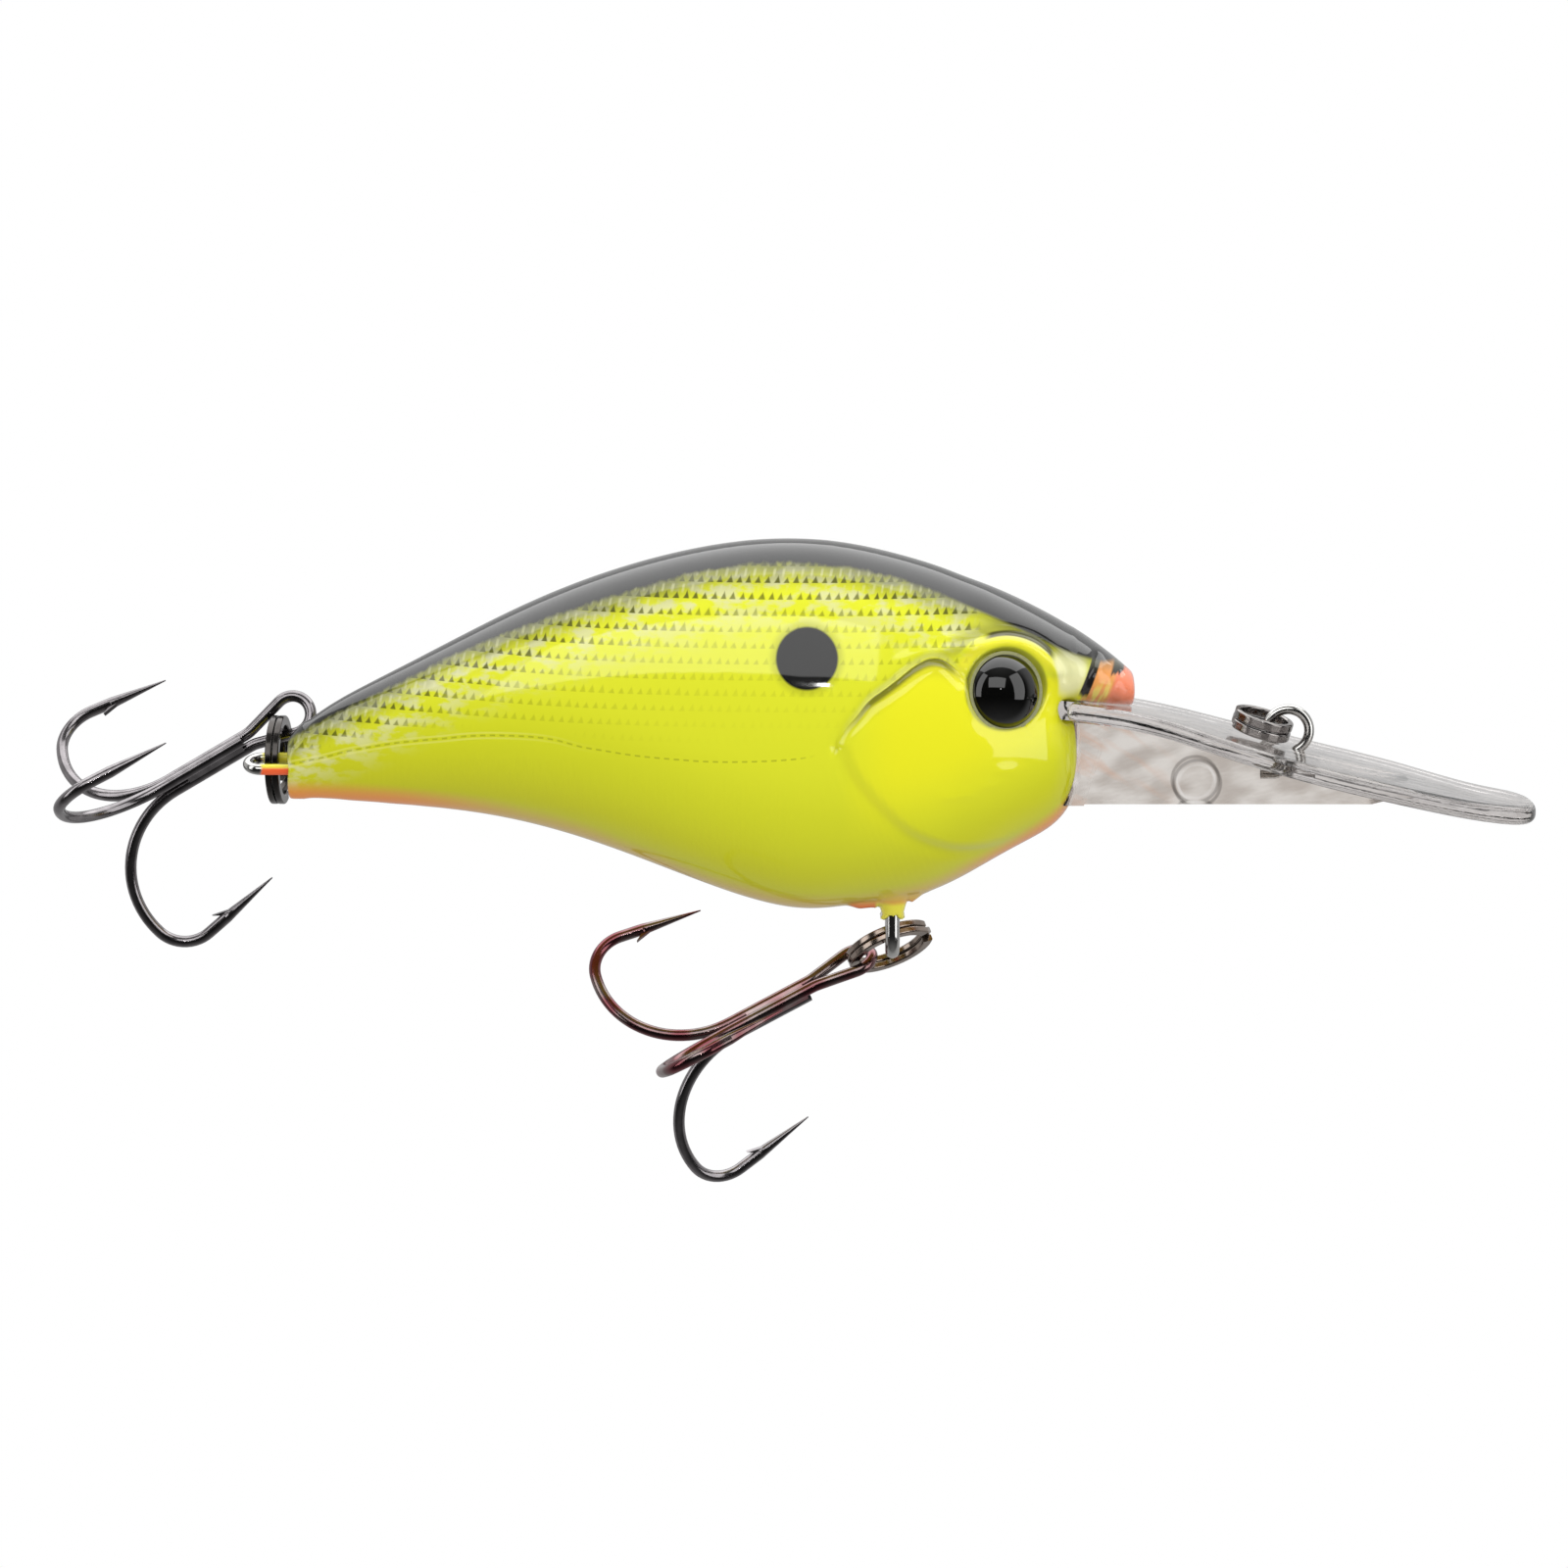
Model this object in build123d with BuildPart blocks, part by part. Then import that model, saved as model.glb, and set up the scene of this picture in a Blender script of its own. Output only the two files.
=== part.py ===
from build123d import *
from math import cos, radians, sin, sqrt
import os

# A deep-diving crankbait. The lure swims towards +X, its back is +Z and its right flank is -Y.
# The origin is the centre of the line-tie loop, where the fishing line pulls. Millimetres.

# ---------------------------------------------------------------- driving dimensions
wall = 1.3                       # thickness of the moulded body shells
lip_thickness = 1.7
lip_edge_radius = 0.7
lip_corner_radius = 0.9
web_thickness = 4.0              # keel web under the lip, across the lure
web_bottom = -6.5
web_front = 7.5                  # from here the web slopes up to the lip
web_end = (12.0, -5.4)
web_root_x = -22.0               # the web and the collar start inside the cheek
collar_width = 6.4               # where the lip's root hugs the cheek
collar_side = [(-17.3, 1.6), (-17.0, -1.6), (-18.6, -6.5)]   # x and z of its front edge
collar_top = 2.0

line_tie_wire_diameter = 0.92
line_tie_radius = 1.93           # centreline of the loop
line_tie_wrap = 60               # how far the loop closes beyond a half circle
line_tie_neck_radius = 0.95
line_tie_leg = 0.6
line_tie_foot = 1.2
belly_wire_diameter = 1.3
belly_wire_leg = 8.5
belly_wire_foot = 0.9
tail_wire_diameter = 1.0
tail_wire_leg = 8.2
tail_wire_foot = 0.5
wire_foot_radius = 0.8           # every wire's legs turn outwards at their ends

strip_gap = 0.05                 # between the two coils of a split ring
strip_corner = 0.22              # radius of the strip's corners, as a share of its height
line_ring_diameter = 5.5
line_ring_strip = (0.55, 0.85)   # width across the ring, height of one coil
hook_ring_diameter = 8.1
hook_ring_strip = (0.9, 0.6)
strip_step = 34                  # angle over which the strip steps to its second coil

hook_wire = 1.07
shank_spacing = hook_wire + 0.1  # the braze fills the gap between the three shanks
hook_eye_radius = 1.75           # centreline of the treble's eye
eye_flare = 16                   # the eye's sides close onto the shanks at this angle
eye_flare_radius = 3.0
bend_start = 15.0                # along the treble, from the outer end of its eye
bend_inner = (8.6, 105)          # radius and turn of the bend beside the shank
bend_outer = (3.3, 86)           # radius and turn of the bend beside the spear
spear_straight = 2.2
spear_taper = 5.6
spear_tip_radius = 0.06
barb = [(13.03, 16.4), (12.6, 18.4), (13.2, 17.4)]   # out from the axis, along the treble
barb_thickness = 0.4
braze_start = 7.6
braze_end = 13.4
braze_hull_radius = 0.4 * hook_wire   # of the three circles that the braze is stretched round
single_shank_start = 7.3

eye_disc_diameter = 7.2
eye_dome_diameter = 6.6
eye_dome_height = 2.3
eye_disc_thickness = 1.2
eye_centre = (-25.8, 7.75, 4.4)  # on the left; the right eye mirrors it
eye_normal = (0.40, 0.91, 0.12)

ballast_radius = 3.2
ballast_length = 8.0
ballast_centre = (-44.6, 0, -11.3)
ballast_edge_radius = 1.2
rattle_diameter = 4.0
rattle_bore = 4.3
front_chamber = (-53.0, 0, -6.0)
front_chamber_length = 12.0
rear_chamber = (-67.0, 0, 1.5)
rear_chamber_length = 12.0
rear_ball_aft = 3.5              # the rear ball lies this far behind the middle of its chamber
ballast_bed = 10.0               # how far the solid under the ballast reaches down
belly_block = (6.4, 8.4, 13.0)   # the block that holds the belly wire's legs: along, across, height
belly_block_z = -13.0
block_span = 30.0                # longer than the body is wide
peg_diameter = 2.0
peg_length = 1.6
peg_places = [(-80.5, 1.5), (-30.5, -7.5)]  # x and z of the pegs that line the shells up

# Body stations: x, height of the back, height of the belly, half width
body_stations = [
    (-90.6, -0.7, -6.3, 2.1),
    (-83.7, 4.2, -6.6, 3.7),
    (-77.2, 7.5, -7.1, 5.4),
    (-67.4, 12.3, -8.8, 7.6),
    (-57.6, 15.7, -12.1, 9.4),
    (-49.2, 17.3, -15.2, 10.3),
    (-42.5, 17.4, -16.3, 10.5),
    (-35.0, 16.0, -15.4, 10.1),
    (-29.0, 13.9, -13.1, 9.2),
    (-24.6, 11.0, -10.6, 7.9),
    (-21.4, 7.2, -8.8, 6.0),
    (-19.6, 3.4, -6.6, 3.9),
    (-18.8, -0.6, -4.4, 1.4),
]
cavity_stations = body_stations[2:8]

# Nose stations, from inside the head to the beak over the lip: x, top, bottom, half width
nose_stations = [
    (-33.0, 14.6, -1.0, 6.6),
    (-28.6, 13.8, 0.2, 6.9),
    (-24.3, 12.0, 1.5, 6.9),
    (-20.0, 9.7, 2.1, 5.9),
    (-16.6, 7.4, 2.2, 4.6),
    (-14.0, 5.2, 2.3, 2.8),
]

# Lip: the middle of the plate from root to tip, as x and z, and its half widths along x
lip_line = [
    (-27.0, 2.9),
    (-19.0, 2.15),
    (-13.0, 1.25),
    (-5.6, -0.75),
    (2.4, -2.95),
    (11.2, -5.1),
    (16.5, -6.4),
    (22.4, -7.2),
]
tongue_half_width = 4.5
lip_shoulder = (-20.2, 6.3)      # where the blade starts, in front of the tongue
lip_half_widths = [(-14.0, 7.2), (-5.6, 10.5), (2.4, 12.0), (11.2, 11.2), (18.0, 8.0)]
lip_shoulder_tangent = (1, 0.1)
lip_tip_x = 22.4
rim_steepness = 0.9              # the rim's edges climb less than this; the corners climb more
dimple_centre = (-8.3, -4.6)     # round moulded dimple on each face of the web
dimple_diameter = 4.2
dimple_depth = 1.0

# ---------------------------------------------------------------- frames of the hanging hardware
belly_wire_x = -35.8
belly_loop_radius = 1.6
belly_loop_z = -18.6
belly_boss = (1.9, 4.8)          # the moulded boss that the belly wire comes out of
belly_boss_corner = 0.8
belly_boss_bottom = -16.8
belly_boss_height = 4.6
belly_boss_taper = -14
belly_ring_centre = Vector(-36.0, 3.2, -20.25)
belly_ring_slope = 23            # the ring's tail end lies lower
belly_ring_roll = 29             # its far side lies lower

tail_loop_radius = 1.25
tail_loop_x = -92.95
tail_loop_z = -3.05
tail_loop_roll = 18
tail_ring_centre = Vector(-91.7, 3.6, -3.1)
tail_ring_yaw = 6                # its left side lies nearer the body
tail_ring_step_slope = -1.3      # its strip steps where the ring's rim has this slope

line_ring_centre = Vector(-2.34, 0, 0.6)
line_ring_slope = 16
line_ring_roll = 8

belly_treble_eye = Vector(-37.15, 3.8, -20.9)
belly_treble_pitch = 26          # it trails down at this angle
belly_treble_yaw = 13            # and leans to the right
belly_treble_turn = 161          # direction of the single hook about the treble's axis
tail_treble_eye = Vector(-88.65, 4.3, 2.15)
tail_treble_pitch = 30.5
tail_treble_yaw = 0
tail_treble_turn = 289.5

os.makedirs("parts", exist_ok=True)


# ---------------------------------------------------------------- shared shapes
def ellipse_loft(stations, inset=0.0):
    """A solid through elliptical cross-sections, each shrunk by inset."""
    with BuildPart() as form:
        for x, top, bottom, half_width in stations:
            across = Plane(origin=(x, 0, (top + bottom) / 2), x_dir=(0, 1, 0), z_dir=(1, 0, 0))
            with BuildSketch(across):
                Ellipse(half_width - inset, (top - bottom) / 2 - inset)
        loft()
    return form.part


def loop_path(plane, radius, leg, foot, wrap=0, neck_radius=0.0):
    """A wire's centreline: a bow at the plane's +Y, two legs down its -Y and outward feet.

    wrap is how far the bow closes beyond a half circle before its legs turn straight.
    """
    with BuildLine(plane) as path:
        last = CenterArc((0, 0), radius, 90, -(90 + wrap))
        if wrap:
            last = JernArc(last @ 1, last % 1, neck_radius, wrap)
        last = Line(last @ 1, last @ 1 + (last % 1) * leg)
        last = JernArc(last @ 1, last % 1, wire_foot_radius, 90)
        Line(last @ 1, last @ 1 + (last % 1) * foot)
        mirror(about=Plane(origin=plane.origin, z_dir=plane.x_dir))
    return path.wire()


def round_wire(path, diameter):
    """A round wire along a path."""
    with BuildPart() as wire:
        with BuildSketch(Plane(origin=path @ 0, z_dir=path % 0)):
            Circle(diameter / 2)
        sweep(path=path)
    return wire.part


def split_ring(plane, outer_diameter, strip):
    """Two flat coils of one strip, joined where the strip steps from one coil to the other."""
    width, height = strip
    radius = (outer_diameter - width) / 2
    level = (height + strip_gap) / 2

    def section_plane(angle, rise):
        radial = plane.x_dir.rotate(Axis((0, 0, 0), plane.z_dir), angle)
        centre = plane.origin + radial * radius + plane.z_dir * rise
        return Plane(origin=centre, x_dir=radial, z_dir=plane.z_dir.cross(radial))

    with BuildPart() as ring:
        for rise in (-level, level):
            with BuildSketch(section_plane(strip_step / 2, rise)):
                RectangleRounded(width, height, strip_corner * height)
            revolve(axis=Axis(plane.origin, plane.z_dir), revolution_arc=360 - strip_step)
        for share in (-0.5, 0, 0.5):
            with BuildSketch(section_plane(strip_step * share, 2 * level * share)):
                RectangleRounded(width, height, strip_corner * height)
        loft()
    return ring.part


def treble_frame(eye_end, pitch, yaw):
    """The frame of a treble: Z runs from its eye to its bends, X is square to that, up and aft."""
    aft = Vector(-cos(radians(yaw)), -sin(radians(yaw)), 0)
    down = Vector(0, 0, -1)
    along = aft * cos(radians(pitch)) + down * sin(radians(pitch))
    up = aft * sin(radians(pitch)) - down * cos(radians(pitch))
    return Plane(origin=eye_end, x_dir=up, z_dir=along)


def prong_plane(frame, turn):
    """The plane of one hook: X out from the treble's axis, Y along the treble."""
    radial = frame.x_dir.rotate(Axis((0, 0, 0), frame.z_dir), turn)
    return Plane(origin=frame.origin, x_dir=radial, z_dir=radial.cross(frame.z_dir))


def prong(frame, turn, shank_start):
    """A straight shank, a two-radius bend and a barbed, tapered spear."""
    plane = prong_plane(frame, turn)
    shank_out = shank_spacing / sqrt(3)
    with BuildPart() as hook:
        with BuildLine(plane) as path:
            last = Line((shank_out, shank_start), (shank_out, bend_start))
            last = JernArc(last @ 1, last % 1, bend_inner[0], -bend_inner[1])
            last = JernArc(last @ 1, last % 1, bend_outer[0], -bend_outer[1])
            last = Line(last @ 1, last @ 1 + (last % 1) * spear_straight)
        with BuildSketch(Plane(origin=path.wire() @ 0, z_dir=frame.z_dir)):
            Circle(hook_wire / 2)
        sweep(path=path.wire())
        with BuildSketch(Plane(origin=last @ 1, z_dir=last % 1)):
            Circle(hook_wire / 2)
        with BuildSketch(Plane(origin=last @ 1 + (last % 1) * spear_taper, z_dir=last % 1)):
            Circle(spear_tip_radius)
        loft()
        with BuildSketch(plane):
            with BuildLine():
                Polyline(*barb, close=True)
            make_face()
        extrude(amount=barb_thickness / 2, both=True)
    return hook.part


def hook_eye(frame, single_turn):
    """The closed eye that the double hook's wire makes, and where along the treble it ends."""
    flare = radians(eye_flare)
    half_spacing = shank_spacing / 2
    drop = eye_flare_radius * (1 - cos(flare))
    side = (hook_eye_radius * cos(flare) - drop - half_spacing) / sin(flare)
    plane = prong_plane(frame, single_turn + 90).offset(-half_spacing / sqrt(3))
    bow_centre = (0, hook_wire / 2 + hook_eye_radius)
    with BuildLine(plane) as path:
        last = CenterArc(bow_centre, hook_eye_radius, -90, 90 + eye_flare)
        last = Line(last @ 1, last @ 1 + (last % 1) * side)
        last = JernArc(last @ 1, last % 1, eye_flare_radius, -eye_flare)
        mirror(about=Plane(origin=plane.origin, z_dir=plane.x_dir))
    neck = (last @ 1 - frame.origin).dot(frame.z_dir)
    return round_wire(path.wire(), hook_wire), neck


def double_hook(frame, single_turn):
    """Two hooks bent from one wire, with the eye between them."""
    eye, neck = hook_eye(frame, single_turn)
    with BuildPart() as hooks:
        add(eye)
        for side in (-120, 120):
            add(prong(frame, single_turn + side, neck))
    return hooks.part


def braze(frame, single_turn):
    """The metal that joins the three shanks."""
    out = shank_spacing / sqrt(3)
    with BuildPart() as joint:
        with BuildSketch(frame.offset(braze_start)):
            with BuildSketch(mode=Mode.PRIVATE) as bundle:
                with PolarLocations(out, 3, start_angle=single_turn):
                    Circle(braze_hull_radius)
            make_hull(bundle.sketch.edges())
            with PolarLocations(out, 3, start_angle=single_turn):
                Circle(hook_wire / 2, mode=Mode.SUBTRACT)
        extrude(amount=braze_end - braze_start)
    return joint.part


# ---------------------------------------------------------------- wires, rings and hooks
with BuildPart() as line_tie_wire:
    line_tie_path = loop_path(
        Plane.XZ, line_tie_radius, line_tie_leg, line_tie_foot, line_tie_wrap, line_tie_neck_radius
    )
    add(round_wire(line_tie_path, line_tie_wire_diameter))

belly_loop_plane = Plane(origin=(belly_wire_x, 0, belly_loop_z), x_dir=(0, 1, 0), z_dir=(-1, 0, 0))
with BuildPart() as belly_hook_hanger:
    belly_path = loop_path(belly_loop_plane, belly_loop_radius, belly_wire_leg, belly_wire_foot)
    add(round_wire(belly_path, belly_wire_diameter))

tail_loop_plane = Plane(
    origin=(tail_loop_x, 0, tail_loop_z),
    x_dir=(0, cos(radians(tail_loop_roll)), sin(radians(tail_loop_roll))),
    z_dir=(0, -sin(radians(tail_loop_roll)), cos(radians(tail_loop_roll))),
)
with BuildPart() as tail_hook_hanger:
    tail_path = loop_path(tail_loop_plane, tail_loop_radius, tail_wire_leg, tail_wire_foot)
    add(round_wire(tail_path, tail_wire_diameter))

line_slope = Vector(cos(radians(line_ring_slope)), 0, -sin(radians(line_ring_slope)))
line_ring_plane = Plane(
    origin=line_ring_centre,
    x_dir=-line_slope,
    z_dir=line_slope.cross(Vector(0, cos(radians(line_ring_roll)), sin(radians(line_ring_roll)))),
)
with BuildPart() as line_tie_split_ring:
    add(split_ring(line_ring_plane, line_ring_diameter, line_ring_strip))

belly_slope = Vector(cos(radians(belly_ring_slope)), 0, sin(radians(belly_ring_slope)))
belly_ring_plane = Plane(
    origin=belly_ring_centre,
    x_dir=belly_slope,
    z_dir=belly_slope.cross(Vector(0, cos(radians(belly_ring_roll)), -sin(radians(belly_ring_roll)))),
)
with BuildPart() as belly_split_ring:
    add(split_ring(belly_ring_plane, hook_ring_diameter, hook_ring_strip))

tail_ring_plane = Plane(
    origin=tail_ring_centre,
    x_dir=(sin(radians(tail_ring_yaw)), cos(radians(tail_ring_yaw)), tail_ring_step_slope),
    z_dir=(cos(radians(tail_ring_yaw)), -sin(radians(tail_ring_yaw)), 0),
)
with BuildPart() as tail_split_ring:
    add(split_ring(tail_ring_plane, hook_ring_diameter, hook_ring_strip))

belly_treble = treble_frame(belly_treble_eye, belly_treble_pitch, belly_treble_yaw)
with BuildPart() as belly_treble_double_hook:
    add(double_hook(belly_treble, belly_treble_turn))
with BuildPart() as belly_treble_single_hook:
    add(prong(belly_treble, belly_treble_turn, single_shank_start))
with BuildPart() as belly_treble_braze:
    add(braze(belly_treble, belly_treble_turn))

tail_treble = treble_frame(tail_treble_eye, tail_treble_pitch, tail_treble_yaw)
with BuildPart() as tail_treble_double_hook:
    add(double_hook(tail_treble, tail_treble_turn))
with BuildPart() as tail_treble_single_hook:
    add(prong(tail_treble, tail_treble_turn, single_shank_start))
with BuildPart() as tail_treble_braze:
    add(braze(tail_treble, tail_treble_turn))

# ---------------------------------------------------------------- lip
def lip_plate():
    """The spoon: a band of even thickness with round edges, cut to the lip's outline, with its tongue."""
    half = lip_thickness / 2
    tongue_x = lip_line[0][0]
    shoulder_x, shoulder_half_width = lip_shoulder
    with BuildPart() as plate:
        with BuildSketch(Plane.XZ):
            with BuildLine():
                top = Spline(*[(x, z + half) for x, z in lip_line])
                bottom = Spline(*[(x, z - half) for x, z in lip_line])
                Line(top @ 0, bottom @ 0)
                Line(top @ 1, bottom @ 1)
            make_face()
        extrude(amount=2 * lip_tip_x, both=True)
        with BuildSketch(Plane.XY) as outline:
            with BuildLine():
                Polyline((tongue_x, 0), (tongue_x, tongue_half_width), (shoulder_x, tongue_half_width),
                         lip_shoulder)
                outline_points = [lip_shoulder, *lip_half_widths, (lip_tip_x, 0)]
                Spline(*outline_points, tangents=[lip_shoulder_tangent, (0, -1)])
                mirror(about=Plane.XZ)
            make_face()
            shoulders = outline.vertices().filter_by(lambda v: abs(v.Y) == shoulder_half_width)
            fillet(shoulders, lip_corner_radius)
        extrude(amount=lip_tip_x, both=True, mode=Mode.INTERSECT)
        blade_edges = plate.edges().filter_by(lambda e: (e @ 0.5).X > shoulder_x)
        rim = blade_edges.filter_by(lambda e: abs((e % 0.5).Z) < rim_steepness)
        fillet(rim, lip_edge_radius)
    return plate.part


outer_body = ellipse_loft(body_stations)
web_half = web_thickness / 2
with BuildPart() as diving_lip:
    with BuildSketch(Plane.XZ):
        with BuildLine():
            keel_top = Spline(*lip_line[2:5])
            Polyline(keel_top @ 1, web_end, (web_front, web_bottom), (web_root_x, web_bottom),
                     (web_root_x, collar_top), keel_top @ 0)
        make_face()
    extrude(amount=web_half, both=True)
    with BuildSketch(Plane.XZ):
        with BuildLine():
            Polyline((web_root_x, collar_top), *collar_side, (web_root_x, web_bottom), close=True)
        make_face()
    extrude(amount=collar_width / 2, both=True)
    add(outer_body, mode=Mode.SUBTRACT)
    with BuildSketch(Plane.XZ.offset(-web_half - dimple_depth), Plane.XZ.offset(web_half)):
        with Locations(dimple_centre):
            Circle(dimple_diameter / 2)
    extrude(amount=dimple_depth, mode=Mode.SUBTRACT)
    add(lip_plate())
    add(line_tie_wire.part, mode=Mode.SUBTRACT)

# ---------------------------------------------------------------- eyes, ballast and rattles
with BuildPart() as left_eye_disc:
    with BuildSketch(Plane(origin=eye_centre, z_dir=eye_normal).offset(-eye_disc_thickness)):
        Circle(eye_disc_diameter / 2)
    extrude(amount=eye_disc_thickness)

with BuildPart() as left_eye_dome:
    dome_radius = eye_dome_diameter / 2
    cap_radius = (dome_radius**2 + eye_dome_height**2) / (2 * eye_dome_height)
    dome_plane = Plane(origin=eye_centre, z_dir=eye_normal)
    profile_plane = Plane(origin=eye_centre, x_dir=dome_plane.x_dir, z_dir=-dome_plane.y_dir)
    with BuildSketch(profile_plane):
        with BuildLine():
            Line((0, 0), (dome_radius, 0))
            RadiusArc((dome_radius, 0), (0, eye_dome_height), -cap_radius)
            Line((0, eye_dome_height), (0, 0))
        make_face()
    revolve(axis=Axis(eye_centre, eye_normal))

with BuildPart() as right_eye_disc:
    add(left_eye_disc.part.mirror(Plane.XZ))

with BuildPart() as right_eye_dome:
    add(left_eye_dome.part.mirror(Plane.XZ))

with BuildPart() as ballast_weight:
    with BuildSketch(Plane.YZ.offset(ballast_centre[0] - ballast_length / 2)):
        with Locations((0, ballast_centre[2])):
            Circle(ballast_radius)
    extrude(amount=ballast_length)
    fillet(ballast_weight.edges(), ballast_edge_radius)

with BuildPart() as front_rattle_ball:
    with Locations(front_chamber):
        Sphere(rattle_diameter / 2)

with BuildPart() as rear_rattle_ball:
    with Locations((rear_chamber[0] - rear_ball_aft, 0, rear_chamber[2])):
        Sphere(rattle_diameter / 2)

# ---------------------------------------------------------------- body shells
with BuildPart() as cavity:
    add(ellipse_loft(cavity_stations, wall))
    with Locations(front_chamber):
        Box(rattle_bore + 2 * wall, block_span, rattle_bore + 2 * wall, mode=Mode.SUBTRACT)
    with Locations(rear_chamber):
        Box(rear_chamber_length + 2 * wall, block_span, rattle_bore + 2 * wall, mode=Mode.SUBTRACT)
    ballast_case = 2 * ballast_radius + 2 * wall
    with Locations((ballast_centre[0], 0, ballast_centre[2] - ballast_bed / 2)):
        Box(ballast_length + 2 * wall, ballast_case, ballast_case + ballast_bed, mode=Mode.SUBTRACT)
    with Locations((belly_wire_x, 0, belly_block_z)):
        Box(*belly_block, mode=Mode.SUBTRACT)

with BuildPart() as body_block:
    add(outer_body)
    add(ellipse_loft(nose_stations))
    with BuildSketch(Plane.XY.offset(belly_boss_bottom)):
        with Locations((belly_wire_x, 0)):
            RectangleRounded(*belly_boss, belly_boss_corner)
    extrude(amount=belly_boss_height, taper=belly_boss_taper)
    add(cavity.part, mode=Mode.SUBTRACT)
    with Locations(front_chamber):
        Cylinder(rattle_bore / 2, front_chamber_length, rotation=(90, 0, 0), mode=Mode.SUBTRACT)
    with Locations(rear_chamber):
        Cylinder(rattle_bore / 2, rear_chamber_length, rotation=(0, 90, 0), mode=Mode.SUBTRACT)
    for piece in (diving_lip, belly_hook_hanger, tail_hook_hanger, ballast_weight,
                  left_eye_disc, left_eye_dome, right_eye_disc, right_eye_dome):
        add(piece.part, mode=Mode.SUBTRACT)

with BuildPart() as pegs:
    with BuildSketch(Plane.XZ):
        with Locations(*peg_places):
            Circle(peg_diameter / 2)
    extrude(amount=peg_length)

with BuildPart() as left_body_shell:
    add(body_block.part)
    split(bisect_by=Plane.XZ, keep=Keep.BOTTOM)
    add(pegs.part)

with BuildPart() as right_body_shell:
    add(body_block.part)
    split(bisect_by=Plane.XZ, keep=Keep.TOP)
    add(pegs.part, mode=Mode.SUBTRACT)

# ---------------------------------------------------------------- write every piece
pieces = {
    "right_body_shell": right_body_shell,
    "left_body_shell": left_body_shell,
    "diving_lip": diving_lip,
    "line_tie_wire": line_tie_wire,
    "line_tie_split_ring": line_tie_split_ring,
    "belly_hook_hanger": belly_hook_hanger,
    "belly_split_ring": belly_split_ring,
    "belly_treble_double_hook": belly_treble_double_hook,
    "belly_treble_single_hook": belly_treble_single_hook,
    "belly_treble_braze": belly_treble_braze,
    "tail_hook_hanger": tail_hook_hanger,
    "tail_split_ring": tail_split_ring,
    "tail_treble_double_hook": tail_treble_double_hook,
    "tail_treble_single_hook": tail_treble_single_hook,
    "tail_treble_braze": tail_treble_braze,
    "right_eye_disc": right_eye_disc,
    "right_eye_dome": right_eye_dome,
    "left_eye_disc": left_eye_disc,
    "left_eye_dome": left_eye_dome,
    "ballast_weight": ballast_weight,
    "front_rattle_ball": front_rattle_ball,
    "rear_rattle_ball": rear_rattle_ball,
}
for name, piece in pieces.items():
    piece.part.label = name
    export_step(piece.part, f"parts/{name}.step")
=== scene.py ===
from math import cos, pi, radians, sin

import bmesh
import bpy
import numpy as np
from mathutils import Matrix, Vector


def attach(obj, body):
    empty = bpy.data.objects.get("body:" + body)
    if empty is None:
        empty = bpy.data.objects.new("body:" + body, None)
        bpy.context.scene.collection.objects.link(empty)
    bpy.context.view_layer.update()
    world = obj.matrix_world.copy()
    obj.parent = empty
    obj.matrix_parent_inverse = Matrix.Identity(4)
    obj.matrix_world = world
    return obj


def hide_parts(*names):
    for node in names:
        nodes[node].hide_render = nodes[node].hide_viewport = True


# The looks of a deep-diving crankbait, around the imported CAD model. The lure swims towards +X,
# its back is +Z, its right flank is -Y, and the origin is the centre of the line-tie loop.

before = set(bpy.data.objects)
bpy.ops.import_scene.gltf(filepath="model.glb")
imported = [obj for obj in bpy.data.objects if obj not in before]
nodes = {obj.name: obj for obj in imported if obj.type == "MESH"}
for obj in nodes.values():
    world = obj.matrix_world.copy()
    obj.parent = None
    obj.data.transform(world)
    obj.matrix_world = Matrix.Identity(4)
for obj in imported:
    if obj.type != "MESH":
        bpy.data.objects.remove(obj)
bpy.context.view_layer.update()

MM = 0.001


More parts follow.
